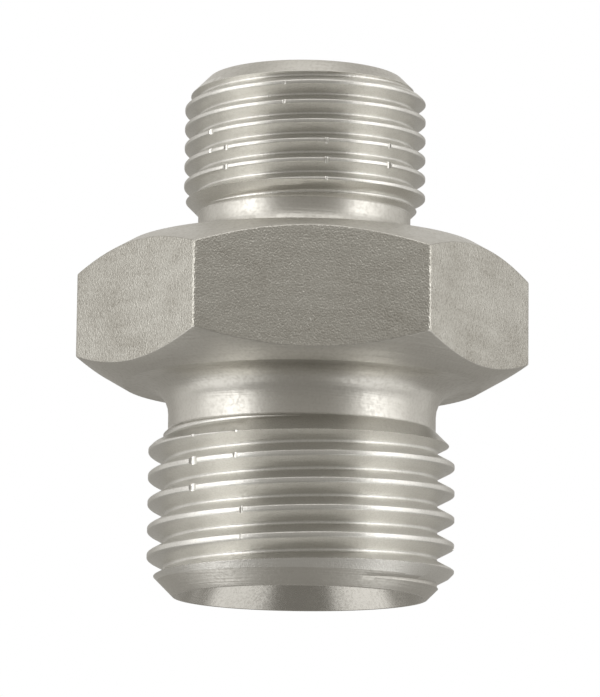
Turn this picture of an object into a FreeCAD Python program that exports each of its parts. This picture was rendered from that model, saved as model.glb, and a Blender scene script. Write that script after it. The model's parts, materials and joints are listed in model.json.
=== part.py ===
"""Hex nipple: one turned body that joins two female parallel pipe threads of different size.

The body is a hexagon bar turned down at both ends. The larger male thread points down and ends
on the ground plane, the smaller one points up. Both are right-hand 55 degree pipe threads with
a relief neck behind them, a chamfer in front and a cone seat inside the mouth. The origin is the
centre of the larger thread's end face, +Z runs along the axis, and one hexagon flat faces -Y.
"""

import FreeCAD, Part
import math
import os

# Hexagon, in millimetres and degrees
HEX_ACROSS_FLATS = 27.0
HEX_THICKNESS = 9.5
HEX_FACE_INSET = 1.2  # from each flat in to the edge of the shoulder face
HEX_CHAMFER_ANGLE = 30.0  # from the shoulder face

# Passage through the body
BORE_DIAMETER = 10.0
SEAT_HALF_ANGLE = 30.0  # a 60 degree cone seat at each mouth

# Larger end, a G 1/2 thread
LARGE_END = {
    "major_diameter": 20.955,
    "pitch": 25.4 / 14,
    "length": 14.5,  # from the end face to the shoulder
    "neck_length": 1.1,  # straight part of the relief neck
    "neck_fillet": 2.0,  # between the neck and the shoulder
    "face_inset": 0.65,  # from the thread's root in to the edge of the end face
    "rim_width": 0.25,  # of the flat end face
    "start_angle": 0.0,  # where the crest would reach the end face, in degrees from +X
}

# Smaller end, a G 3/8 thread
SMALL_END = {
    "major_diameter": 16.662,
    "pitch": 25.4 / 19,
    "length": 12.0,
    "neck_length": 0.65,
    "neck_fillet": 1.8,
    "face_inset": 0.75,
    "rim_width": 0.5,
    "start_angle": -54.0,
}

# Form of both ends
FLANK_ANGLE = 27.5  # between a flank and a plane square to the axis
DEPTH_PER_PITCH = 0.640327
CREST_LAND_PER_PITCH = 0.2  # flat top left between two grooves
GROOVE_OVERCUT = 0.2  # how far the cutting profile stands outside the crests
NECK_CLEARANCE = 0.15  # how far the neck lies below the thread's root
RUNOUT_ANGLE = 45.0  # slope from the last crest down to the neck
END_CHAMFER_ANGLE = 45.0
BAR_OVERSIZE = 1.0  # how far the turned outline stands outside the hexagon's corners

Z_AXIS = FreeCAD.Vector(0, 0, 1)
X_AXIS = FreeCAD.Vector(1, 0, 0)
ORIGIN = FreeCAD.Vector(0, 0, 0)
TOTAL_LENGTH = LARGE_END["length"] + HEX_THICKNESS + SMALL_END["length"]


def tangent(angle):
    """Tangent of an angle in degrees."""
    return math.tan(math.radians(angle))


def root_radius(end):
    """Radius at the bottom of the thread groove."""
    return end["major_diameter"] / 2 - DEPTH_PER_PITCH * end["pitch"]


def mouth_radius(end):
    """Radius of the cone seat where it opens into the end face."""
    return root_radius(end) - end["face_inset"] - end["rim_width"]


def seat_depth(end):
    """How deep the cone seat goes before it meets the bore."""
    return (mouth_radius(end) - BORE_DIAMETER / 2) / tangent(SEAT_HALF_ANGLE)


def shoulder_radius():
    """Radius at which both hexagon chamfers meet the shoulder faces."""
    return HEX_ACROSS_FLATS / 2 - HEX_FACE_INSET


def stub_edges(end):
    """Outline of one end as edges in the XZ plane, from its cone seat to its shoulder.

    The end face lies on Z = 0 and the shoulder above it.
    """
    crest = end["major_diameter"] / 2
    neck = root_radius(end) - NECK_CLEARANCE
    face = root_radius(end) - end["face_inset"]
    fillet = end["neck_fillet"]
    shoulder = end["length"]
    neck_top = shoulder - fillet
    neck_start = neck_top - end["neck_length"]
    last_crest = neck_start - (crest - neck) * tangent(RUNOUT_ANGLE)
    corners = [
        (BORE_DIAMETER / 2, seat_depth(end)),
        (mouth_radius(end), 0),
        (face, 0),
        (crest, (crest - face) * tangent(END_CHAMFER_ANGLE)),
        (crest, last_crest),
        (neck, neck_start),
        (neck, neck_top),
    ]
    points = [FreeCAD.Vector(radius, 0, height) for radius, height in corners]
    edges = [Part.makeLine(a, b) for a, b in zip(points, points[1:])]
    middle = fillet * math.cos(math.radians(45))
    on_arc = FreeCAD.Vector(neck + fillet - middle, 0, neck_top + middle)
    fillet_end = FreeCAD.Vector(neck + fillet, 0, shoulder)
    edges.append(Part.Arc(points[-1], on_arc, fillet_end).toShape())
    edges.append(Part.makeLine(fillet_end, FreeCAD.Vector(shoulder_radius(), 0, shoulder)))
    return edges


def to_small_end(shape):
    """Turn a shape made at the larger end round to the smaller end, which keeps its hand."""
    turned = shape.copy()
    turned.rotate(ORIGIN, X_AXIS, 180)
    turned.translate(Z_AXIS * TOTAL_LENGTH)
    return turned


def turned_outline():
    """Closed section of everything that the lathe makes, as a face in the XZ plane."""
    large = stub_edges(LARGE_END)
    small = [to_small_end(edge) for edge in stub_edges(SMALL_END)]
    face = shoulder_radius()
    outside = HEX_ACROSS_FLATS / math.sqrt(3) + BAR_OVERSIZE
    rise = (outside - face) * tangent(HEX_CHAMFER_ANGLE)
    low = LARGE_END["length"]
    high = low + HEX_THICKNESS
    corners = [(face, low), (outside, low + rise), (outside, high - rise), (face, high)]
    points = [FreeCAD.Vector(radius, 0, height) for radius, height in corners]
    middle = [Part.makeLine(a, b) for a, b in zip(points, points[1:])]
    bore = Part.makeLine(
        FreeCAD.Vector(BORE_DIAMETER / 2, 0, seat_depth(LARGE_END)),
        FreeCAD.Vector(BORE_DIAMETER / 2, 0, TOTAL_LENGTH - seat_depth(SMALL_END)),
    )
    edges = large + middle + small + [bore]
    return Part.Face(Part.Wire(Part.__sortEdges__(edges)))


def hexagon_bar():
    """The bar that the body is cut from, with two flats square to the Y axis."""
    corner_radius = HEX_ACROSS_FLATS / math.sqrt(3)
    corners = []
    for step in range(7):
        angle = math.radians(60 * step)
        across = corner_radius * math.cos(angle)
        along = corner_radius * math.sin(angle)
        corners.append(FreeCAD.Vector(across, along, 0))
    return Part.Face(Part.makePolygon(corners)).extrude(Z_AXIS * TOTAL_LENGTH)


def groove_section(end):
    """Cross-section of the thread groove in the XZ plane, centred on Z = 0.

    Two straight flanks run into a rounded root.
    """
    crest = end["major_diameter"] / 2
    bottom = root_radius(end)
    flank = math.radians(FLANK_ANGLE)
    half_opening = end["pitch"] * (1 - CREST_LAND_PER_PITCH) / 2
    sharp_bottom = crest - half_opening / math.tan(flank)
    rounding = (bottom - sharp_bottom) / (1 / math.sin(flank) - 1)
    outer_half = half_opening + GROOVE_OVERCUT * math.tan(flank)
    round_edge = bottom + rounding * (1 - math.sin(flank))
    round_half = rounding * math.cos(flank)
    outer_low = FreeCAD.Vector(crest + GROOVE_OVERCUT, 0, -outer_half)
    outer_high = FreeCAD.Vector(crest + GROOVE_OVERCUT, 0, outer_half)
    root_low = FreeCAD.Vector(round_edge, 0, -round_half)
    root_high = FreeCAD.Vector(round_edge, 0, round_half)
    root = FreeCAD.Vector(bottom, 0, 0)
    return Part.Wire([
        Part.makeLine(outer_low, root_low),
        Part.Arc(root_low, root, root_high).toShape(),
        Part.makeLine(root_high, outer_high),
        Part.makeLine(outer_high, outer_low),
    ])


def helix(pitch, climb, radius):
    """Right-hand helix that starts on +X, as a wire with one edge for each turn."""
    edges = []
    height = 0.0
    while height < climb:
        turn = Part.makeHelix(pitch, min(pitch, climb - height), radius)
        turn.translate(Z_AXIS * height)
        edges += turn.Edges
        height += pitch
    return Part.Wire(edges)


def thread_groove(end):
    """Solid of the helical groove, from one pitch outside the end face to the end of the neck.

    The neck is slimmer than the groove's root, so the groove runs out there by itself.
    """
    pitch = end["pitch"]
    climb = pitch + end["length"] - end["neck_fillet"]
    path = helix(pitch, climb, end["major_diameter"] / 2)
    groove = path.makePipeShell([groove_section(end)], True, True)
    groove.rotate(ORIGIN, Z_AXIS, end["start_angle"] + 180)
    groove.translate(Z_AXIS * -pitch)
    return groove


def nipple_body():
    """The whole body: hexagon bar, turned outline and both threads."""
    turned = turned_outline().revolve(ORIGIN, Z_AXIS, 360)
    body = hexagon_bar().common(turned)
    body = body.cut(thread_groove(LARGE_END))
    return body.cut(to_small_end(thread_groove(SMALL_END)))


def single_solid(shape):
    """The one solid of a shape, after making sure that it is one."""
    solids = shape.Solids
    if len(solids) != 1 or not solids[0].isValid():
        raise ValueError("the body is not one valid solid")
    return solids[0]


PARTS = {"nipple_body": nipple_body}

os.makedirs("parts", exist_ok=True)
for name, make in PARTS.items():
    solid = single_solid(make())
    solid.exportStep("parts/" + name + ".step")
    print(name, "volume", round(solid.Volume, 1), "mm3, faces", len(solid.Faces))
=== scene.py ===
# %% [markdown]
# # A stainless hex nipple
# A hex nipple joins two female pipe threads. The real one is a single piece of hexagon bar: a lathe
# turns both ends down, cuts a larger thread below and a smaller one above, and bores it through.
# This notebook makes the same piece in the same order: it turns the blank, cuts the two threads,
# marks the crests as handling does, and then gives every surface its own steel finish.

import json
import math

import bpy
from mathutils import Matrix, Vector

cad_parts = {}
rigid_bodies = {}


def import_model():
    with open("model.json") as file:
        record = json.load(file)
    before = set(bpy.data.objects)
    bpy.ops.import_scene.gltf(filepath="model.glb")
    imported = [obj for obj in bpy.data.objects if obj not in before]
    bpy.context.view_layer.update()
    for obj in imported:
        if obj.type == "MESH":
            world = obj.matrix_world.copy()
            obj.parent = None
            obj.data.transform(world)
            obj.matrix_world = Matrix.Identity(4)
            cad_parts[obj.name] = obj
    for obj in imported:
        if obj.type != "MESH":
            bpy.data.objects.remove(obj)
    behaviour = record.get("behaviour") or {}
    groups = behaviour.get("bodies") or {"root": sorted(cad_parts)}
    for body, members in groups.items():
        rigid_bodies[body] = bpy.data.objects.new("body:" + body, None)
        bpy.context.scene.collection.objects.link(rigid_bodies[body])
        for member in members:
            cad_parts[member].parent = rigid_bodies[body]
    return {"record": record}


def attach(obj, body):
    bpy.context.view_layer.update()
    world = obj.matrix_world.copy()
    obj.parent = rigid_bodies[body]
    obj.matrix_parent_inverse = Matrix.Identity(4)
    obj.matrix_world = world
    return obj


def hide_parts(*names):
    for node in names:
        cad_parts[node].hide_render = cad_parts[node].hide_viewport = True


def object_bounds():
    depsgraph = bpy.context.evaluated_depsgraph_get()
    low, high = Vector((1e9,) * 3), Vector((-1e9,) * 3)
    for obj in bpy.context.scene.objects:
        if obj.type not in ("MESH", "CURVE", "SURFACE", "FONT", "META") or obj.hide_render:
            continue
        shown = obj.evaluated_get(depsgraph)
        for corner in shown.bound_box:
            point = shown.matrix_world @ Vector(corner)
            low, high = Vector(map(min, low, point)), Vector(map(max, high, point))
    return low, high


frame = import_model()
cad_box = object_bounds()
print("CAD box in mm:", [[round(1000 * value, 2) for value in corner] for corner in cad_box])

# %% [markdown]
# ## Sizes
# The CAD model settles every size, so they are read from its record and its box. The named mounts
# give both crest radii, both cone mouths, the bore and the heights of the shoulders. The rest
# follows from the 55 degree pipe thread, whose depth is a fixed share of its pitch. Working in
# millimetres keeps the numbers readable, and one scale turns them to metres at the end.

# %% Read the sizes
MM = 0.001
mounts = {mount["name"]: mount for mount in frame["record"]["mounts"]}


def radius_of(name):
    """Radius of a round mount, in millimetres."""
    return mounts[name]["dims"]["r_mm"]


def height_of(name):
    """Height of a mount above the ground plane, in millimetres."""
    return mounts[name]["pos_m"][2] / MM


HALF_SECTOR = math.radians(30)  # from a flat's middle to a corner
LOW_SHOULDER = height_of("large_shoulder")
HIGH_SHOULDER = height_of("small_shoulder")
TOTAL_LENGTH = cad_box[1].z / MM
FLAT_RADIUS = cad_box[1].y / MM
CORNER_RADIUS = FLAT_RADIUS / math.cos(HALF_SECTOR)
SHOULDER_INSET = 1.2
SHOULDER_RADIUS = FLAT_RADIUS - SHOULDER_INSET
CHAMFER_SLOPE = math.tan(math.radians(30))
BORE_RADIUS = radius_of("flow_bore")
SEAT_SLOPE = 1 / math.tan(math.radians(30))
THREAD_DEPTH_PER_PITCH = 0.640327
NECK_CLEARANCE = 0.15


def pipe_thread(name, turns_per_inch, length, neck_length, fillet, face_inset, start_angle):
    """Sizes of one threaded end, in millimetres and degrees."""
    crest = radius_of(name + "_thread")
    pitch = 25.4 / turns_per_inch
    root = crest - THREAD_DEPTH_PER_PITCH * pitch
    neck = root - NECK_CLEARANCE
    neck_start = length - fillet - neck_length
    return {
        "crest": crest,
        "pitch": pitch,
        "root": root,
        "neck": neck,
        "mouth": radius_of(name + "_seat"),
        "face": root - face_inset,
        "length": length,
        "fillet": fillet,
        "neck_start": neck_start,
        "last_crest": neck_start - (crest - neck),
        "start_angle": start_angle,
    }


large_end = pipe_thread("large", 14, LOW_SHOULDER, 1.1, 2.0, 0.65, 0)
small_end = pipe_thread("small", 19, TOTAL_LENGTH - HIGH_SHOULDER, 0.65, 1.8, 0.75, -54)
for title, end in (("large", large_end), ("small", small_end)):
    print(title, "end:", {key: round(value, 3) for key, value in end.items()})

# %% [markdown]
# ## The outline that the lathe follows
# Everything round on the piece comes from one closed line in the half plane beside the axis. It
# could be drawn by hand, but here it is a short list of corners, each with the radius that rounds
# it. A real edge is never perfectly sharp: a turned edge keeps about a tenth of a millimetre of
# roundness, and that thin band is what catches the light.

# %% Round the corners of an outline
ARC_STEP = math.radians(14)
ROW_SPACING = 0.6
LONGEST_DIVIDED = 3.0


def rounded(corners):
    """Points of a closed outline whose (radius, height, rounding) corners are replaced by arcs."""
    points = []
    for index, (x, z, rounding) in enumerate(corners):
        corner = Vector((x, z))
        before = (Vector(corners[index - 1][:2]) - corner).normalized()
        after = (Vector(corners[(index + 1) % len(corners)][:2]) - corner).normalized()
        half = before.angle(after) / 2
        turn = math.pi - 2 * half
        steps = max(2, math.ceil(turn / ARC_STEP))
        centre = corner + (before + after).normalized() * rounding / math.sin(half)
        first = corner + before * rounding / math.tan(half) - centre
        last = corner + after * rounding / math.tan(half) - centre
        side = math.copysign(1, first.x * last.y - first.y * last.x)
        for step in range(steps + 1):
            angle = side * turn * step / steps
            points.append(centre + Matrix.Rotation(angle, 2) @ first)
    return points


def divided(points):
    """The same closed outline with extra points on its short straight lines, such as chamfers."""
    result = []
    for point, following in zip(points, points[1:] + points[:1]):
        length = (following - point).length
        steps = math.ceil(length / ROW_SPACING) if length < LONGEST_DIVIDED else 1
        result += [point.lerp(following, step / steps) for step in range(steps)]
    return result


def end_corners(end):
    """Corners of one end from its cone seat to its shoulder, with the end face at height 0."""
    seat_depth = (end["mouth"] - BORE_RADIUS) * SEAT_SLOPE
    return [
        (BORE_RADIUS, seat_depth, 0.4),
        (end["mouth"], 0, 0.06),
        (end["face"], 0, 0.08),
        (end["crest"], end["crest"] - end["face"], 0.15),
        (end["crest"], end["last_crest"], 0.12),
        (end["neck"], end["neck_start"], 0.3),
        (end["neck"], end["length"], end["fillet"]),
    ]


def hexagon_corners():
    """Corners of the hexagon's section through its edges, from the lower shoulder to the upper."""
    rise = (CORNER_RADIUS - SHOULDER_RADIUS) * CHAMFER_SLOPE
    return [
        (SHOULDER_RADIUS, LOW_SHOULDER, 0.12),
        (CORNER_RADIUS, LOW_SHOULDER + rise, 0.15),
        (CORNER_RADIUS, HIGH_SHOULDER - rise, 0.15),
        (SHOULDER_RADIUS, HIGH_SHOULDER, 0.12),
    ]


upper = [(x, TOTAL_LENGTH - z, rounding) for x, z, rounding in reversed(end_corners(small_end))]
outline = divided(rounded(end_corners(large_end) + hexagon_corners() + upper))
print("outline:", len(outline), "points")

# %% [markdown]
# ## The groove's section
# A threading tool has the shape of the groove: two flanks at 27.5 degrees that meet in a round
# root. Near the crest the section opens in small steps, so that the cut leaves the crest's edges
# soft instead of sharp. The offsets of those steps are shares of the pitch.

# %% Draw the groove's section
FLANK = math.radians(27.5)
LAND_PER_PITCH = 0.2
OUTSIDE = 0.35
CREST_SOFTNESS = 0.065
ROOT_STEPS = 4


def groove_section(end):
    """Closed section of the groove as (distance from the crest, height) points."""
    half_opening = end["pitch"] * (1 - LAND_PER_PITCH) / 2
    depth = end["crest"] - end["root"]
    sharp_depth = half_opening / math.tan(FLANK)
    rounding = (sharp_depth - depth) / (1 / math.sin(FLANK) - 1)
    soft = CREST_SOFTNESS * end["pitch"]
    flank = [
        (OUTSIDE, half_opening + 1.6 * soft),
        (0.06 * soft, half_opening + 0.85 * soft),
        (-0.06 * soft, half_opening + 0.40 * soft),
        (-0.35 * soft, half_opening + 0.03 * soft),
        (-0.7 * soft, half_opening - 0.24 * soft),
        (-1.3 * soft, half_opening - 1.3 * soft * math.tan(FLANK)),
    ]
    for step in range(ROOT_STEPS + 1):
        angle = (math.pi / 2 - FLANK) * (1 - step / ROOT_STEPS)
        flank.append((-depth + rounding * (1 - math.cos(angle)), rounding * math.sin(angle)))
    other = [(x, -z) for x, z in reversed(flank[:-1])]
    return flank + other


sections = {"large": groove_section(large_end), "small": groove_section(small_end)}
print("groove section:", len(sections["large"]), "points")

# %% [markdown]
# ## Formulas in a node tree
# Geometry Nodes and shader nodes both calculate with Math nodes, which are tedious to place one by
# one. A small class lets the script write `a * b + c` and places the nodes itself.

# %% Write formulas as nodes
class Field:
    """A number in a node tree that can be calculated with."""

    def __init__(self, tree, socket):
        self.tree = tree
        self.socket = socket

    def math(self, operation, *others, clamp=False):
        """Place a Math node on this number and the others."""
        node = self.tree.nodes.new("ShaderNodeMath")
        node.operation = operation
        node.use_clamp = clamp
        for slot, value in zip(node.inputs, (self, *others)):
            connect(self.tree, value, slot)
        return Field(self.tree, node.outputs[0])

    def __add__(self, other):
        return self.math("ADD", other)

    def __sub__(self, other):
        return self.math("SUBTRACT", other)

    def __mul__(self, other):
        return self.math("MULTIPLY", other)

    def __truediv__(self, other):
        return self.math("DIVIDE", other)


def connect(tree, value, slot):
    """Put a Field, a socket or a plain value into an input."""
    if isinstance(value, Field):
        tree.links.new(value.socket, slot)
    elif isinstance(value, bpy.types.NodeSocket):
        tree.links.new(value, slot)
    else:
        slot.default_value = value


def add(tree, kind, settings=None, **inputs):
    """Add a node, with its settings and its inputs by name, where _ stands for a space."""
    node = tree.nodes.new(kind)
    for key, value in (settings or {}).items():
        setattr(node, key, value)
    for key, value in inputs.items():
        connect(tree, value, node.inputs[key.replace("_", " ")])
    return node


def vector(tree, x, y, z):
    """Join three numbers to a vector."""
    return add(tree, "ShaderNodeCombineXYZ", X=x, Y=y, Z=z).outputs[0]


def new_group(name, kind, inputs, outputs):
    """A node group with named inputs {name: (type, value)} and outputs {name: type}."""
    tree = bpy.data.node_groups.new(name, kind)
    for title, (socket_type, value) in inputs.items():
        socket = tree.interface.new_socket(title, in_out="INPUT", socket_type=socket_type)
        if value is not None:
            socket.default_value = value
    for title, socket_type in outputs.items():
        tree.interface.new_socket(title, in_out="OUTPUT", socket_type=socket_type)
    start = tree.nodes.new("NodeGroupInput")
    end = tree.nodes.new("NodeGroupOutput")
    return tree, start, end


def field(tree, node, name):
    """A node's named output as a Field."""
    return Field(tree, node.outputs[name])


def split(tree, socket):
    """The three parts of a vector as Fields."""
    node = add(tree, "ShaderNodeSeparateXYZ", Vector=socket)
    return [field(tree, node, name) for name in "XYZ"]


def read(tree, kind):
    """The first output of a new node that only reads something, such as the position."""
    return tree.nodes.new(kind).outputs[0]


# %% [markdown]
# ## Turning the blank
# The blank is a grid of columns round the axis and rows along the outline. Each column reads the
# outline's points and stands them up at its own angle. Where the outline passes the shoulders'
# radius, the hexagon takes over: it pulls each column in to the flat and slides the chamfer's edge
# along the cone, which gives the curved edges that a lathe leaves on a hexagon. Columns crowd
# towards the six corners, where the surface turns fast. Spin would make only the round parts.

# %% Turn the blank
GEOMETRY = "NodeSocketGeometry"
FLOAT = "NodeSocketFloat"
INTEGER = "NodeSocketInt"
OBJECT = "NodeSocketObject"
MATERIAL = "NodeSocketMaterial"
CROWDING = 1.8
CORNER_ROUNDING = 0.25
SEAM_GAP = 0.0005


def hexagon_radius(tree, off_flat, flat, rounding):
    """Radius of a hexagon with rounded corners, from the angle away from a flat's middle."""
    plain = flat / off_flat.math("COSINE")
    off_corner = off_flat.math("ABSOLUTE") * -1.0 + HALF_SECTOR
    centre = (flat - rounding) / math.cos(HALF_SECTOR)
    across = centre * off_corner.math("SINE")
    inside = rounding * rounding - across * across
    arc = centre * off_corner.math("COSINE") + inside.math("MAXIMUM", 0.0).math("SQRT")
    reach = rounding * math.sin(HALF_SECTOR) / (centre + rounding * math.cos(HALF_SECTOR))
    on_arc = off_corner.math("LESS_THAN", reach.math("ARCTANGENT"))
    return plain + on_arc * (arc - plain)


def blank_group():
    """Group that turns an outline and cuts a hexagon on its widest part."""
    tree, start, end = new_group(
        "turned_blank",
        "GeometryNodeTree",
        {
            "Outline": (OBJECT, None),
            "Outline Points": (INTEGER, 100),
            "Columns per Flat": (INTEGER, 40),
            "Flat Radius": (FLOAT, 13.5),
            "Shoulder Radius": (FLOAT, 12.3),
            "Corner Rounding": (FLOAT, CORNER_ROUNDING),
            "Middle Height": (FLOAT, 19.25),
            "Edge Height": (FLOAT, 2.85),
            "Chamfer Slope": (FLOAT, CHAMFER_SLOPE),
        },
        {"Mesh": GEOMETRY},
    )
    points = field(tree, start, "Outline Points")
    per_flat = field(tree, start, "Columns per Flat")
    flat = field(tree, start, "Flat Radius")
    shoulder = field(tree, start, "Shoulder Radius")
    columns = per_flat * 6.0
    grid = add(
        tree, "GeometryNodeMeshGrid", Size_X=columns, Size_Y=points,
        Vertices_X=columns + 1.0, Vertices_Y=points + 1.0,
    )
    across, along, _ = split(tree, read(tree, "GeometryNodeInputPosition"))
    column = (across + columns * 0.5).math("ROUND")
    row = (along + points * 0.5).math("ROUND").math("MODULO", points)
    line = add(tree, "GeometryNodeObjectInfo", Object=start.outputs["Outline"])
    sample = add(
        tree, "GeometryNodeSampleIndex", {"data_type": "FLOAT_VECTOR"},
        Geometry=line.outputs["Geometry"], Index=row,
        Value=read(tree, "GeometryNodeInputPosition"),
    )
    radius, _, height = split(tree, sample.outputs[0])
    sector = (column / per_flat).math("FLOOR")
    share = (column / per_flat - sector) * 2.0 - 1.0
    crowded = (share.math("ABSOLUTE") * -1.0 + 1.0).math("POWER", CROWDING) * -1.0 + 1.0
    off_flat = share.math("SIGN") * crowded * HALF_SECTOR
    angle = sector * (2 * HALF_SECTOR) + off_flat + HALF_SECTOR
    hexagon = hexagon_radius(tree, off_flat, flat, field(tree, start, "Corner Rounding"))
    corner = flat / math.cos(HALF_SECTOR)
    squeeze = (hexagon - shoulder) / (corner - shoulder)
    beyond = (radius - shoulder).math("MAXIMUM", 0.0)
    pulled_in = beyond * (squeeze * -1.0 + 1.0)
    side = (height - field(tree, start, "Middle Height")) / field(tree, start, "Edge Height")
    side = side.math("MAXIMUM", -1.0).math("MINIMUM", 1.0)
    new_radius = radius - pulled_in
    new_height = height + side * pulled_in * field(tree, start, "Chamfer Slope")
    x = new_radius * angle.math("COSINE")
    y = new_radius * angle.math("SINE")
    position = vector(tree, x, y, new_height)
    stood = add(tree, "GeometryNodeSetPosition", Geometry=grid.outputs["Mesh"], Position=position)
    closed = add(
        tree, "GeometryNodeMergeByDistance", Geometry=stood.outputs[0], Distance=SEAM_GAP,
    )
    tree.links.new(closed.outputs[0], end.inputs["Mesh"])
    return tree


blank_tree = blank_group()
print("blank tree:", len(blank_tree.nodes), "nodes")

# %% [markdown]
# ## The tool that cuts a thread
# A thread is a groove along a helix. The section follows a spiral whose normals are kept level, so
# that it never twists, and its closed ends make it a solid that can be taken away from the blank.
# Curve Spiral turns left unless it is reversed, and pipe threads turn right. The groove starts a
# pitch outside the end face and stops beside the neck, where it cuts only air.

# %% Sweep the groove
def cutter_group():
    """Group that sweeps a groove's section along a right-hand helix."""
    tree, start, end = new_group(
        "thread_cutter",
        "GeometryNodeTree",
        {
            "Section": (OBJECT, None),
            "Crest Radius": (FLOAT, 10.0),
            "Pitch": (FLOAT, 1.8),
            "Turns": (FLOAT, 8.0),
            "Start Angle": (FLOAT, 0.0),
            "Start Height": (FLOAT, 0.0),
            "Columns per Turn": (INTEGER, 200),
        },
        {"Mesh": GEOMETRY},
    )
    turns, crest = field(tree, start, "Turns"), field(tree, start, "Crest Radius")
    spiral = add(
        tree, "GeometryNodeCurveSpiral", Resolution=start.outputs["Columns per Turn"],
        Rotations=turns, Start_Radius=crest, End_Radius=crest,
        Height=turns * field(tree, start, "Pitch"), Reverse=True,
    )
    level = add(tree, "GeometryNodeSetCurveNormal", {"mode": "Z_UP"}, Curve=spiral.outputs[0])
    section = add(tree, "GeometryNodeObjectInfo", Object=start.outputs["Section"])
    loop = add(tree, "GeometryNodeMeshToCurve", Mesh=section.outputs["Geometry"])
    swept = add(
        tree, "GeometryNodeCurveToMesh", Curve=level.outputs[0],
        Profile_Curve=loop.outputs[0], Fill_Caps=True,
    )
    moved = add(
        tree, "GeometryNodeTransform", Geometry=swept.outputs[0],
        Translation=vector(tree, 0.0, 0.0, field(tree, start, "Start Height")),
        Rotation=vector(tree, 0.0, 0.0, field(tree, start, "Start Angle")),
    )
    tree.links.new(moved.outputs[0], end.inputs["Mesh"])
    return tree


cutter_tree = cutter_group()
print("cutter tree:", len(cutter_tree.nodes), "nodes")

# %% [markdown]
# ## Nicks from handling
# Crests are the first thing that a loose fitting knocks against its neighbours. One knock drags
# across several crests in a row, so a nick here is a long thin lens laid along the axis, just deep
# enough to clip each crest that it passes. They could be painted on, but a cut in the mesh also
# shows on the outline. The seed fixes where they lie.

# %% Scatter the nicks
LENS_DEPTH = 0.3
NICK_HALF_WIDTH = (0.16, 0.42)
NICK_HALF_LENGTH = (0.4, 3.2)


def nick_group():
    """Group that scatters long lenses on the crests of a thread."""
    tree, start, end = new_group(
        "crest_nicks",
        "GeometryNodeTree",
        {
            "Count": (INTEGER, 6),
            "Seed": (INTEGER, 1),
            "Crest Radius": (FLOAT, 10.0),
            "Lowest": (FLOAT, 2.0),
            "Highest": (FLOAT, 9.0),
            "Depth": (FLOAT, 0.1),
        },
        {"Mesh": GEOMETRY},
    )
    dots = add(tree, "GeometryNodeMeshLine", Count=start.outputs["Count"])

    def chance(low, high, change):
        """A random number for each nick; the change keeps one draw apart from the next."""
        node = add(tree, "FunctionNodeRandomValue", {"data_type": "FLOAT"})
        connect(tree, low, node.inputs[2])
        connect(tree, high, node.inputs[3])
        connect(tree, field(tree, start, "Seed") + change, node.inputs["Seed"])
        return Field(tree, node.outputs[1])

    angle = chance(0.0, 2 * math.pi, 0.0)
    height = chance(start.outputs["Lowest"], start.outputs["Highest"], 1.0)
    width = chance(*NICK_HALF_WIDTH, 2.0)
    reach = chance(*NICK_HALF_LENGTH, 3.0)
    depth = field(tree, start, "Depth") * chance(0.5, 1.0, 4.0)
    radius = field(tree, start, "Crest Radius") + LENS_DEPTH - depth
    place = vector(tree, radius * angle.math("COSINE"), radius * angle.math("SINE"), height)
    placed = add(tree, "GeometryNodeSetPosition", Geometry=dots.outputs[0], Position=place)
    lens = add(tree, "GeometryNodeMeshIcoSphere", Radius=1.0, Subdivisions=3)
    turn = add(tree, "FunctionNodeEulerToRotation", Euler=vector(tree, 0.0, 0.0, angle))
    scattered = add(
        tree, "GeometryNodeInstanceOnPoints", Points=placed.outputs[0], Instance=lens.outputs[0],
        Rotation=turn.outputs[0], Scale=vector(tree, LENS_DEPTH, width, reach),
    )
    real = add(tree, "GeometryNodeRealizeInstances", Geometry=scattered.outputs[0])
    tree.links.new(real.outputs[0], end.inputs["Mesh"])
    return tree


nick_tree = nick_group()
print("nick tree:", len(nick_tree.nodes), "nodes")

# %% [markdown]
# ## Surface patterns that several finishes share
# All finishes here are the same steel. They differ in how the surface was made, so the patterns
# are shader groups with named inputs: the grain of drawn and pickled bar, the fine rings that a
# lathe leaves, a broad mottle, and brighter edges, which are partly rubbed wear and partly a
# painted highlight. The edges could be painted by hand, but a Bevel node finds them by itself:
# where its rounded normal leaves the true one, an edge is near. Each finish places the groups with
# its own sizes.

# %% Build the shared patterns
# The width of the edge band that gets rubbed wear and a painted highlight.
WORN_WIDTH = 0.12


def millimetres(tree):
    """The surface point in millimetres, as a vector socket."""
    place = tree.nodes.new("ShaderNodeTexCoord")
    scaled = add(
        tree, "ShaderNodeVectorMath", {"operation": "SCALE"},
        Vector=place.outputs["Object"], Scale=1 / MM,
    )
    return scaled.outputs[0]


def noise(tree, place, per_mm, detail=2.0):
    """Noise from about 0 to 1 with a number of features per millimetre, as a Field."""
    node = add(tree, "ShaderNodeTexNoise", Vector=place, Scale=per_mm, Detail=detail)
    return Field(tree, node.outputs[0])


def between(value, low, high):
    """Stretch a Field so that low becomes 0 and high becomes 1, and clip it there."""
    return ((value - low) * (1 / (high - low))).math("ADD", 0.0, clamp=True)


def grain_group():
    """Pitted grain of pickled bar: its height, and the dark of its pits."""
    tree, start, end = new_group(
        "pickled_grain",
        "ShaderNodeTree",
        {"Grains per mm": (FLOAT, 4.0)},
        {"Height": FLOAT, "Pits": FLOAT},
    )
    place = millimetres(tree)
    density = field(tree, start, "Grains per mm")
    coarse = noise(tree, place, density * 0.6, 1.0)
    fine = noise(tree, place, density, 0.0)
    pitted_areas = noise(tree, place, density * 0.035, 2.0)
    pits = between(coarse * 0.4 + fine * 0.4 + pitted_areas * 0.2, 0.55, 0.36)
    connect(tree, fine * 0.75 + coarse * 0.25, end.inputs["Height"])
    connect(tree, pits, end.inputs["Pits"])
    return tree


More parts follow.
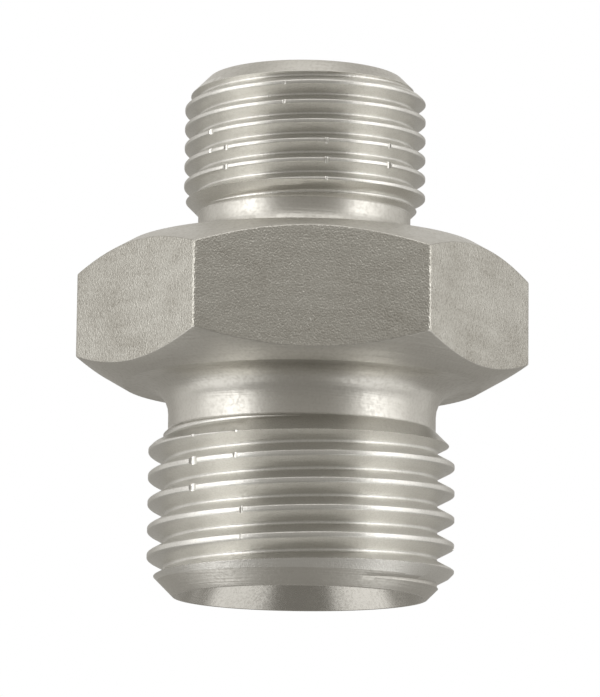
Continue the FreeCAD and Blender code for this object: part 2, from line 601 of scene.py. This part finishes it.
def lathe_group():
    """Fine rings round the axis, on cylinders, cones and faces alike: their height and streaks."""
    tree, start, end = new_group(
        "lathe_rings",
        "ShaderNodeTree",
        {"Rings per mm": (FLOAT, 8.0), "Wander": (FLOAT, 0.04)},
        {"Height": FLOAT, "Streaks": FLOAT},
    )
    x, y, z = split(tree, millimetres(tree))
    radius = (x * x + y * y).math("SQRT")
    wander = field(tree, start, "Wander")
    ring = vector(tree, radius, z + x * wander, y * wander)
    density = field(tree, start, "Rings per mm")
    fine = noise(tree, ring, density, 2.0)
    broad = noise(tree, ring, density * 0.22, 2.0)
    connect(tree, fine * 0.6 + broad * 0.4, end.inputs["Height"])
    connect(tree, between(broad * 0.6 + fine * 0.4, 0.35, 0.65), end.inputs["Streaks"])
    return tree


def mottle_group():
    """Broad, soft patches of slightly darker metal, with a few small specks."""
    tree, start, end = new_group(
        "mottle",
        "ShaderNodeTree",
        {"Patches per mm": (FLOAT, 1 / 3), "Specks per mm": (FLOAT, 1 / 0.3)},
        {"Patches": FLOAT, "Specks": FLOAT},
    )
    place = millimetres(tree)
    patches = noise(tree, place, start.outputs["Patches per mm"], 4.0)
    specks = noise(tree, place, start.outputs["Specks per mm"], 1.0)
    connect(tree, between(patches, 0.35, 0.65), end.inputs["Patches"])
    connect(tree, between(specks, 0.66, 0.74), end.inputs["Specks"])
    return tree


def wear_group():
    """Rubbed edges with a painted highlight: where the surface turns within a short distance."""
    tree, start, end = new_group(
        "edge_wear",
        "ShaderNodeTree",
        {"Gain": (FLOAT, 3.0)},
        {"Mask": FLOAT},
    )
    eased = add(tree, "ShaderNodeBevel", {"samples": 6}, Radius=WORN_WIDTH * MM)
    true = tree.nodes.new("ShaderNodeNewGeometry")
    same = add(tree, "ShaderNodeVectorMath", {"operation": "DOT_PRODUCT"})
    tree.links.new(eased.outputs["Normal"], same.inputs[0])
    tree.links.new(true.outputs["Normal"], same.inputs[1])
    turned = Field(tree, same.outputs["Value"]) * -1.0 + 1.0
    broken = noise(tree, millimetres(tree), 2.5, 3.0)
    rubbed = turned * field(tree, start, "Gain") * (broken + 0.5)
    connect(tree, rubbed.math("ADD", 0.0, clamp=True), end.inputs["Mask"])
    return tree


patterns = {
    "grain": grain_group(),
    "rings": lathe_group(),
    "mottle": mottle_group(),
    "wear": wear_group(),
}
print("shared patterns:", ", ".join(tree.name for tree in patterns.values()))

# %% [markdown]
# ## Steel finishes
# One function makes each finish from the same parts, so that they stay one metal: a dark and a
# bright steel colour mixed by the patterns, where the bright one lies along the edges as rubbed
# wear and painted highlight, a roughness that the patterns vary, and a bump made of grain and
# rings. The hexagon's flats keep the grain of the pickled bar. The turned necks and cones are
# smoother and show fine rings, the threads are cut clean, and the bore and its cones are reamed
# smooth.

# %% Make the finishes
DARK_STEEL = (0.34, 0.32, 0.28, 1)
ROUGH_STEEL = (0.65, 0.635, 0.585, 1)
PLAIN_STEEL = (0.60, 0.585, 0.545, 1)
BORE_STEEL = (0.50, 0.485, 0.45, 1)
CLEAN_STEEL = (0.72, 0.71, 0.675, 1)
# Brighter steel along the edges: partly rubbed wear, partly a painted highlight.
BRIGHT_STEEL = (0.80, 0.79, 0.76, 1)


BUMP_HEIGHT = 0.1


def steel_finish(name, plain, grains, rings, dark, roughness, grain_bump, ring_bump, wear):
    """Steel with grains and rings per mm, a share of dark, a mean roughness and two bumps."""
    material = bpy.data.materials.new(name)
    material.use_nodes = True
    tree = material.node_tree
    surface = tree.nodes["Principled BSDF"]
    surface.inputs["Metallic"].default_value = 1.0

    def pattern(kind, **inputs):
        node = tree.nodes.new("ShaderNodeGroup")
        node.node_tree = patterns[kind]
        for key, value in inputs.items():
            node.inputs[key.replace("_", " ")].default_value = value
        return node

    grain = pattern("grain", Grains_per_mm=grains)
    ring = pattern("rings", Rings_per_mm=rings)
    mottle = pattern("mottle")
    # The edge mask brightens the colour along every edge: partly rubbed wear, partly a painted
    # highlight.
    worn = field(tree, pattern("wear"), "Mask") * wear
    pits, streaks = field(tree, grain, "Pits"), field(tree, ring, "Streaks")
    patches, specks = field(tree, mottle, "Patches"), field(tree, mottle, "Specks")
    darkness = (pits * 0.5 + streaks * 0.25 + patches * 0.25 + specks * 0.3) * dark
    steel = add(tree, "ShaderNodeMix", {"data_type": "RGBA"})
    connect(tree, darkness.math("ADD", 0.0, clamp=True), steel.inputs[0])
    steel.inputs[6].default_value = plain
    steel.inputs[7].default_value = DARK_STEEL
    rubbed = add(tree, "ShaderNodeMix", {"data_type": "RGBA"})
    connect(tree, worn, rubbed.inputs[0])
    connect(tree, steel.outputs[2], rubbed.inputs[6])
    rubbed.inputs[7].default_value = BRIGHT_STEEL
    connect(tree, rubbed.outputs[2], surface.inputs["Base Color"])
    rough = (pits * 0.10 + patches * 0.06 - worn * 0.08) + roughness
    connect(tree, rough, surface.inputs["Roughness"])
    relief = field(tree, grain, "Height") * grain_bump + field(tree, ring, "Height") * ring_bump
    bump = add(tree, "ShaderNodeBump", Distance=BUMP_HEIGHT * MM, Height=relief)
    connect(tree, bump.outputs["Normal"], surface.inputs["Normal"])
    return material


finishes = {
    "flats": steel_finish(
        "pickled_bar_steel", ROUGH_STEEL, grains=8.0, rings=6.0, dark=0.9,
        roughness=0.36, grain_bump=0.55, ring_bump=0.0, wear=0.9,
    ),
    "turned": steel_finish(
        "turned_steel", PLAIN_STEEL, grains=5.0, rings=7.0, dark=0.35,
        roughness=0.31, grain_bump=0.06, ring_bump=0.22, wear=0.6,
    ),
    "thread": steel_finish(
        "cut_thread_steel", CLEAN_STEEL, grains=9.0, rings=10.0, dark=0.25,
        roughness=0.28, grain_bump=0.12, ring_bump=0.12, wear=0.8,
    ),
    "bore": steel_finish(
        "drilled_steel", BORE_STEEL, grains=7.0, rings=5.0, dark=0.25,
        roughness=0.20, grain_bump=0.03, ring_bump=0.1, wear=0.3,
    ),
}
print("finishes:", ", ".join(material.name for material in finishes.values()))

# %% [markdown]
# ## Machining the body
# The last tree does what the workshop does: it takes both grooves and the nicks away from the
# blank with a Mesh Boolean, whose Manifold solver keeps the result closed. Edges sharper than 32
# degrees stay crisp and everything else is shaded smooth. Each surface then gets its finish by
# where it is and which way it faces, and the piece is scaled from millimetres to metres.

# %% Build the machining tree
CRISP_EDGE = math.radians(32)
UPRIGHT = 0.3  # a flat's normal rises or falls by less than this
INWARD = -0.2  # a bore's or a cone seat's normal points in by more than this
FLAT_MARGIN = 0.5
CLEAR_OF_FACE = 1.0
FIRST_NICK_PITCHES = 1.5


def group_node(tree, group, **values):
    """Place a node group and set its inputs by name, where _ stands for a space."""
    node = tree.nodes.new("GeometryNodeGroup")
    node.node_tree = group
    for key, value in values.items():
        connect(tree, value, node.inputs[key.replace("_", " ")])
    return node


def paint(tree, mesh, where, material):
    """Give the faces of a selection a material."""
    node = add(tree, "GeometryNodeSetMaterial", Geometry=mesh, Selection=where, Material=material)
    return node.outputs[0]


def nipple_group():
    """The whole body, from its outlines to its finishes."""
    tree, start, end = new_group(
        "machined_nipple",
        "GeometryNodeTree",
        {
            "Outline": (OBJECT, None),
            "Large Section": (OBJECT, None),
            "Small Section": (OBJECT, None),
            "Outline Points": (INTEGER, 100),
            "Columns per Flat": (INTEGER, 40),
            "Columns per Turn": (INTEGER, 200),
            "Large Crest Radius": (FLOAT, 10.0),
            "Large Pitch": (FLOAT, 1.8),
            "Small Crest Radius": (FLOAT, 8.0),
            "Small Pitch": (FLOAT, 1.3),
            "Nicks": (INTEGER, 10),
            "Nick Depth": (FLOAT, 0.1),
            "Seed": (INTEGER, 3),
            "Flat Finish": (MATERIAL, None),
            "Turned Finish": (MATERIAL, None),
            "Thread Finish": (MATERIAL, None),
            "Bore Finish": (MATERIAL, None),
        },
        {"Mesh": GEOMETRY},
    )
    rise = (CORNER_RADIUS - SHOULDER_RADIUS) * CHAMFER_SLOPE
    blank = group_node(
        tree, blank_tree, Outline=start.outputs["Outline"],
        Outline_Points=start.outputs["Outline Points"],
        Columns_per_Flat=start.outputs["Columns per Flat"], Flat_Radius=FLAT_RADIUS,
        Shoulder_Radius=SHOULDER_RADIUS, Middle_Height=(LOW_SHOULDER + HIGH_SHOULDER) / 2,
        Edge_Height=(HIGH_SHOULDER - LOW_SHOULDER) / 2 - rise,
    )
    tools = []
    for title, sizes in (("Large", large_end), ("Small", small_end)):
        pitch = field(tree, start, title + " Pitch")
        crest = start.outputs[title + " Crest Radius"]
        climb = sizes["length"] - sizes["fillet"]
        cutter = group_node(
            tree, cutter_tree, Section=start.outputs[title + " Section"], Pitch=pitch,
            Crest_Radius=crest, Start_Height=pitch * -1.0, Turns=climb / sizes["pitch"] + 1,
            Start_Angle=math.radians(sizes["start_angle"] + 180),
            Columns_per_Turn=start.outputs["Columns per Turn"],
        )
        nicks = group_node(
            tree, nick_tree, Count=start.outputs["Nicks"], Crest_Radius=crest,
            Seed=start.outputs["Seed"], Depth=start.outputs["Nick Depth"],
            Lowest=FIRST_NICK_PITCHES * sizes["pitch"], Highest=sizes["last_crest"],
        )
        tools.append([cutter.outputs[0], nicks.outputs[0]])
    turned_over = []
    for tool in tools[1]:
        moved = add(
            tree, "GeometryNodeTransform", Geometry=tool,
            Translation=(0, 0, TOTAL_LENGTH), Rotation=(math.pi, 0, 0),
        )
        turned_over.append(moved.outputs[0])
    mesh = blank.outputs[0]
    settings = {"operation": "DIFFERENCE", "solver": "MANIFOLD"}
    for tool in (tools[0][0], turned_over[0], tools[0][1], turned_over[1]):
        cut = add(tree, "GeometryNodeMeshBoolean", settings)
        tree.links.new(mesh, cut.inputs[0])
        tree.links.new(tool, cut.inputs[1])
        mesh = cut.outputs[0]
    smooth = add(tree, "GeometryNodeSetShadeSmooth", {"domain": "FACE"}, Geometry=mesh)
    bend = field(tree, tree.nodes.new("GeometryNodeInputMeshEdgeAngle"), "Unsigned Angle")
    edges = add(
        tree, "GeometryNodeSetShadeSmooth", {"domain": "EDGE"}, Geometry=smooth.outputs[0],
        Shade_Smooth=bend.math("LESS_THAN", CRISP_EDGE),
    )
    x, y, z = split(tree, read(tree, "GeometryNodeInputPosition"))
    towards_x, towards_y, towards_z = split(tree, read(tree, "GeometryNodeInputNormal"))
    radius = (x * x + y * y).math("SQRT")
    outward = (x * towards_x + y * towards_y) / radius
    upright = towards_z.math("ABSOLUTE").math("LESS_THAN", UPRIGHT)
    on_flat = upright * radius.math("GREATER_THAN", SHOULDER_RADIUS + FLAT_MARGIN)
    inside = outward.math("LESS_THAN", INWARD)
    low_thread = z.math("LESS_THAN", large_end["neck_start"])
    low_thread = low_thread * z.math("GREATER_THAN", CLEAR_OF_FACE)
    high_thread = z.math("GREATER_THAN", TOTAL_LENGTH - small_end["neck_start"])
    high_thread = high_thread * z.math("LESS_THAN", TOTAL_LENGTH - CLEAR_OF_FACE)
    painted = paint(tree, edges.outputs[0], True, start.outputs["Turned Finish"])
    painted = paint(tree, painted, low_thread + high_thread, start.outputs["Thread Finish"])
    painted = paint(tree, painted, on_flat, start.outputs["Flat Finish"])
    painted = paint(tree, painted, inside, start.outputs["Bore Finish"])
    scaled = add(tree, "GeometryNodeTransform", Geometry=painted, Scale=(MM, MM, MM))
    real = add(tree, "GeometryNodeRealizeInstances", Geometry=scaled.outputs[0])
    tree.links.new(real.outputs[0], end.inputs["Mesh"])
    return tree


nipple_tree = nipple_group()
print("machining tree:", len(nipple_tree.nodes), "nodes")

# %% [markdown]
# ## From outlines to a finished mesh
# The outline and the two sections go in as small wire objects. The evaluated result is copied into
# a plain mesh, and the wires and the modifier are removed, so that only the finished piece is left.

# %% Make the body
def wire(name, points):
    """A closed loop of edges through points, as an object."""
    mesh = bpy.data.meshes.new(name)
    edges = [(index, (index + 1) % len(points)) for index in range(len(points))]
    mesh.from_pydata(points, edges, [])
    made = bpy.data.objects.new(name, mesh)
    bpy.context.scene.collection.objects.link(made)
    return made


def bake_tree(name, tree, values):
    """Run a geometry tree on an empty mesh with inputs by name, and keep the result as a mesh."""
    carrier = bpy.data.objects.new(name, bpy.data.meshes.new(name))
    bpy.context.scene.collection.objects.link(carrier)
    modifier = carrier.modifiers.new(name, "NODES")
    modifier.node_group = tree
    for socket in tree.interface.items_tree:
        if socket.in_out == "INPUT" and socket.name in values:
            modifier[socket.identifier] = values[socket.name]
    graph = bpy.context.evaluated_depsgraph_get()
    mesh = bpy.data.meshes.new_from_object(carrier.evaluated_get(graph), depsgraph=graph)
    carrier.modifiers.clear()
    carrier.data = mesh
    mesh.name = name
    return carrier


wires = {
    "Outline": wire("outline", [(point.x, 0, point.y) for point in outline]),
    "Large Section": wire("large_section", [(x, z, 0) for x, z in sections["large"]]),
    "Small Section": wire("small_section", [(x, z, 0) for x, z in sections["small"]]),
}
body = bake_tree(
    "nipple_body_machined",
    nipple_tree,
    {
        **wires,
        "Outline Points": len(outline),
        "Columns per Flat": 40,
        "Columns per Turn": 200,
        "Large Crest Radius": large_end["crest"],
        "Large Pitch": large_end["pitch"],
        "Small Crest Radius": small_end["crest"],
        "Small Pitch": small_end["pitch"],
        "Nicks": 9,
        "Nick Depth": 0.2,
        "Seed": 58,
        "Flat Finish": finishes["flats"],
        "Turned Finish": finishes["turned"],
        "Thread Finish": finishes["thread"],
        "Bore Finish": finishes["bore"],
    },
)
for helper in wires.values():
    bpy.data.objects.remove(helper)
body.data.calc_loop_triangles()
print("body:", len(body.data.vertices), "vertices,", len(body.data.loop_triangles), "triangles")

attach(body, "root")
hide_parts("nipple_body")

# %% [markdown]
# ## Floor
# The nipple stands on a plain pale floor. The main view looks up from below the floor's level, so
# the floor shows only from above, fades out with distance, and neither lights the steel nor hides
# it. The surroundings below the horizon take its place in the reflections.

# %% Lay the floor
FLOOR_RADIUS = 0.45
SOLID_FLOOR_RADIUS = 0.08
FLOOR_SIDES = 96


def floor_material():
    """Pale matt floor that fades out and can't be seen from below."""
    material = bpy.data.materials.new("pale_floor")
    material.use_nodes = True
    tree = material.node_tree
    surface = tree.nodes["Principled BSDF"]
    surface.inputs["Base Color"].default_value = (0.86, 0.86, 0.85, 1)
    surface.inputs["Roughness"].default_value = 0.9
    surface.inputs["Specular IOR Level"].default_value = 0.1
    place = tree.nodes.new("ShaderNodeTexCoord")
    x, y, _ = split(tree, place.outputs["Object"])
    distance = (x * x + y * y).math("SQRT")
    solid = between(distance, FLOOR_RADIUS, SOLID_FLOOR_RADIUS)
    back = field(tree, tree.nodes.new("ShaderNodeNewGeometry"), "Backfacing")
    connect(tree, solid * (back * -1.0 + 1.0), surface.inputs["Alpha"])
    return material


def floor_disc():
    """A flat disc that faces up."""
    points = []
    for side in range(FLOOR_SIDES):
        angle = 2 * math.pi * side / FLOOR_SIDES
        points.append((FLOOR_RADIUS * math.cos(angle), FLOOR_RADIUS * math.sin(angle), 0))
    mesh = bpy.data.meshes.new("floor")
    mesh.from_pydata(points, [], [tuple(range(FLOOR_SIDES))])
    made = bpy.data.objects.new("floor", mesh)
    bpy.context.scene.collection.objects.link(made)
    mesh.materials.append(floor_material())
    return made


floor = floor_disc()
floor.visible_diffuse = False
floor.visible_glossy = False
floor.visible_transmission = False
floor.visible_shadow = False

# %% [markdown]
# ## Light
# Clean metal shows its surroundings more than itself. The near soft boxes at the sides give the
# bright streaks on every round surface, and the dimmer space in front gives the dark band between
# them. The boxes further round, above and below fill the necks' fillets and the cones, which face
# up and down. Each box is (azimuth, elevation, width, height, radiance), in degrees and metres.

# %% Set the lights
TARGET = Vector((0, 0, (LOW_SHOULDER + HIGH_SHOULDER) / 2 * MM))
BOX_DISTANCE = 0.6


def soft_box(name, azimuth, elevation, width, height, radiance):
    """A rectangular light that faces the piece; azimuth runs from -Y towards +X, in degrees."""
    light = bpy.data.lights.new(name, "AREA")
    light.shape = "RECTANGLE"
    light.size = width
    light.size_y = height
    light.energy = radiance * math.pi * width * height
    made = bpy.data.objects.new(name, light)
    bpy.context.scene.collection.objects.link(made)
    turn, rise = math.radians(azimuth), math.radians(elevation)
    level = math.cos(rise)
    away = Vector((math.sin(turn) * level, -math.cos(turn) * level, math.sin(rise)))
    made.location = TARGET + away * BOX_DISTANCE
    made.rotation_mode = "QUATERNION"
    made.rotation_quaternion = away.to_track_quat("Z", "Y")
    made.visible_camera = False
    return made


SOFT_BOXES = {
    "near_right": (60, 8, 0.25, 0.55, 2.0),
    "near_left": (-59, 8, 0.25, 0.55, 2.3),
    "side_right": (84, 8, 0.25, 0.55, 1.15),
    "side_left": (-84, 8, 0.25, 0.55, 1.3),
    "low_right": (80, -45, 0.55, 0.40, 1.0),
    "low_left": (-88, -45, 0.50, 0.40, 1.1),
    "high_right": (70, 48, 0.40, 0.35, 0.6),
    "high_left": (-70, 48, 0.40, 0.35, 0.9),
    "high_front": (0, 60, 0.60, 0.30, 0.9),
    "top": (0, 86, 0.40, 0.40, 0.8),
    "back_right": (118, 0, 0.35, 0.60, 0.4),
    "back_left": (-118, 0, 0.35, 0.60, 0.4),
    "back": (180, 40, 0.70, 0.45, 0.3),
}
for title, (azimuth, elevation, width, height, radiance) in SOFT_BOXES.items():
    soft_box(title + "_box", azimuth, elevation, width, height, radiance)
print("soft boxes:", len(SOFT_BOXES))


def surroundings():
    """White to the camera, and otherwise a soft grey room that is dimmer in front and below."""
    world = bpy.data.worlds.new("studio")
    bpy.context.scene.world = world
    world.use_nodes = True
    tree = world.node_tree
    tree.nodes.clear()
    place = tree.nodes.new("ShaderNodeTexCoord")
    _, y, z = split(tree, place.outputs["Generated"])
    up = between(z, -0.6, 0.9)
    behind = between(y, -0.9, 0.9)
    level = up * 0.16 + behind * 0.08 + 0.28
    room = add(tree, "ShaderNodeBackground", Color=(1.0, 0.965, 0.90, 1), Strength=level)
    white = add(tree, "ShaderNodeBackground", Color=(1, 1, 1, 1), Strength=1.0)
    seen = tree.nodes.new("ShaderNodeLightPath").outputs["Is Camera Ray"]
    mixed = add(tree, "ShaderNodeMixShader")
    connect(tree, seen, mixed.inputs[0])
    connect(tree, room.outputs[0], mixed.inputs[1])
    connect(tree, white.outputs[0], mixed.inputs[2])
    output = tree.nodes.new("ShaderNodeOutputWorld")
    tree.links.new(mixed.outputs[0], output.inputs["Surface"])


surroundings()
bpy.context.scene.view_settings.view_transform = "Standard"

# %% [markdown]
# ## Camera
# A long lens looks slightly up at the piece, turned a little to one side and rolled by less than a
# degree, from 29 cm away. It aims a little below the middle of the hexagon, which places the
# hexagon above the middle of the frame.

# %% Place the camera
DISTANCE = 0.2924
ELEVATION = math.radians(-9.68)
TURN = math.radians(2.4)
ROLL = math.radians(0.67)
AIM_BELOW = 1.99 * MM
AIM_LEFT = 0.19 * MM


def main_camera():
    """Camera at the main view."""
    data = bpy.data.cameras.new("main_camera")
    data.lens = 219.6
    data.sensor_width = 36
    data.clip_start = 0.01
    made = bpy.data.objects.new("main_camera", data)
    bpy.context.scene.collection.objects.link(made)
    back = Vector((
        -math.sin(TURN) * math.cos(ELEVATION),
        -math.cos(TURN) * math.cos(ELEVATION),
        math.sin(ELEVATION),
    ))
    right = Vector((math.cos(TURN), -math.sin(TURN), 0))
    up = back.cross(right)
    place = TARGET + back * DISTANCE
    aim = TARGET - up * AIM_BELOW - right * AIM_LEFT
    back = (place - aim).normalized()
    right = up.cross(back).normalized()
    up = back.cross(right)
    level = Matrix((right, up, back)).transposed().to_4x4()
    made.matrix_world = Matrix.Translation(place) @ level @ Matrix.Rotation(ROLL, 4, "Z")
    return made


bpy.context.scene.camera = main_camera()
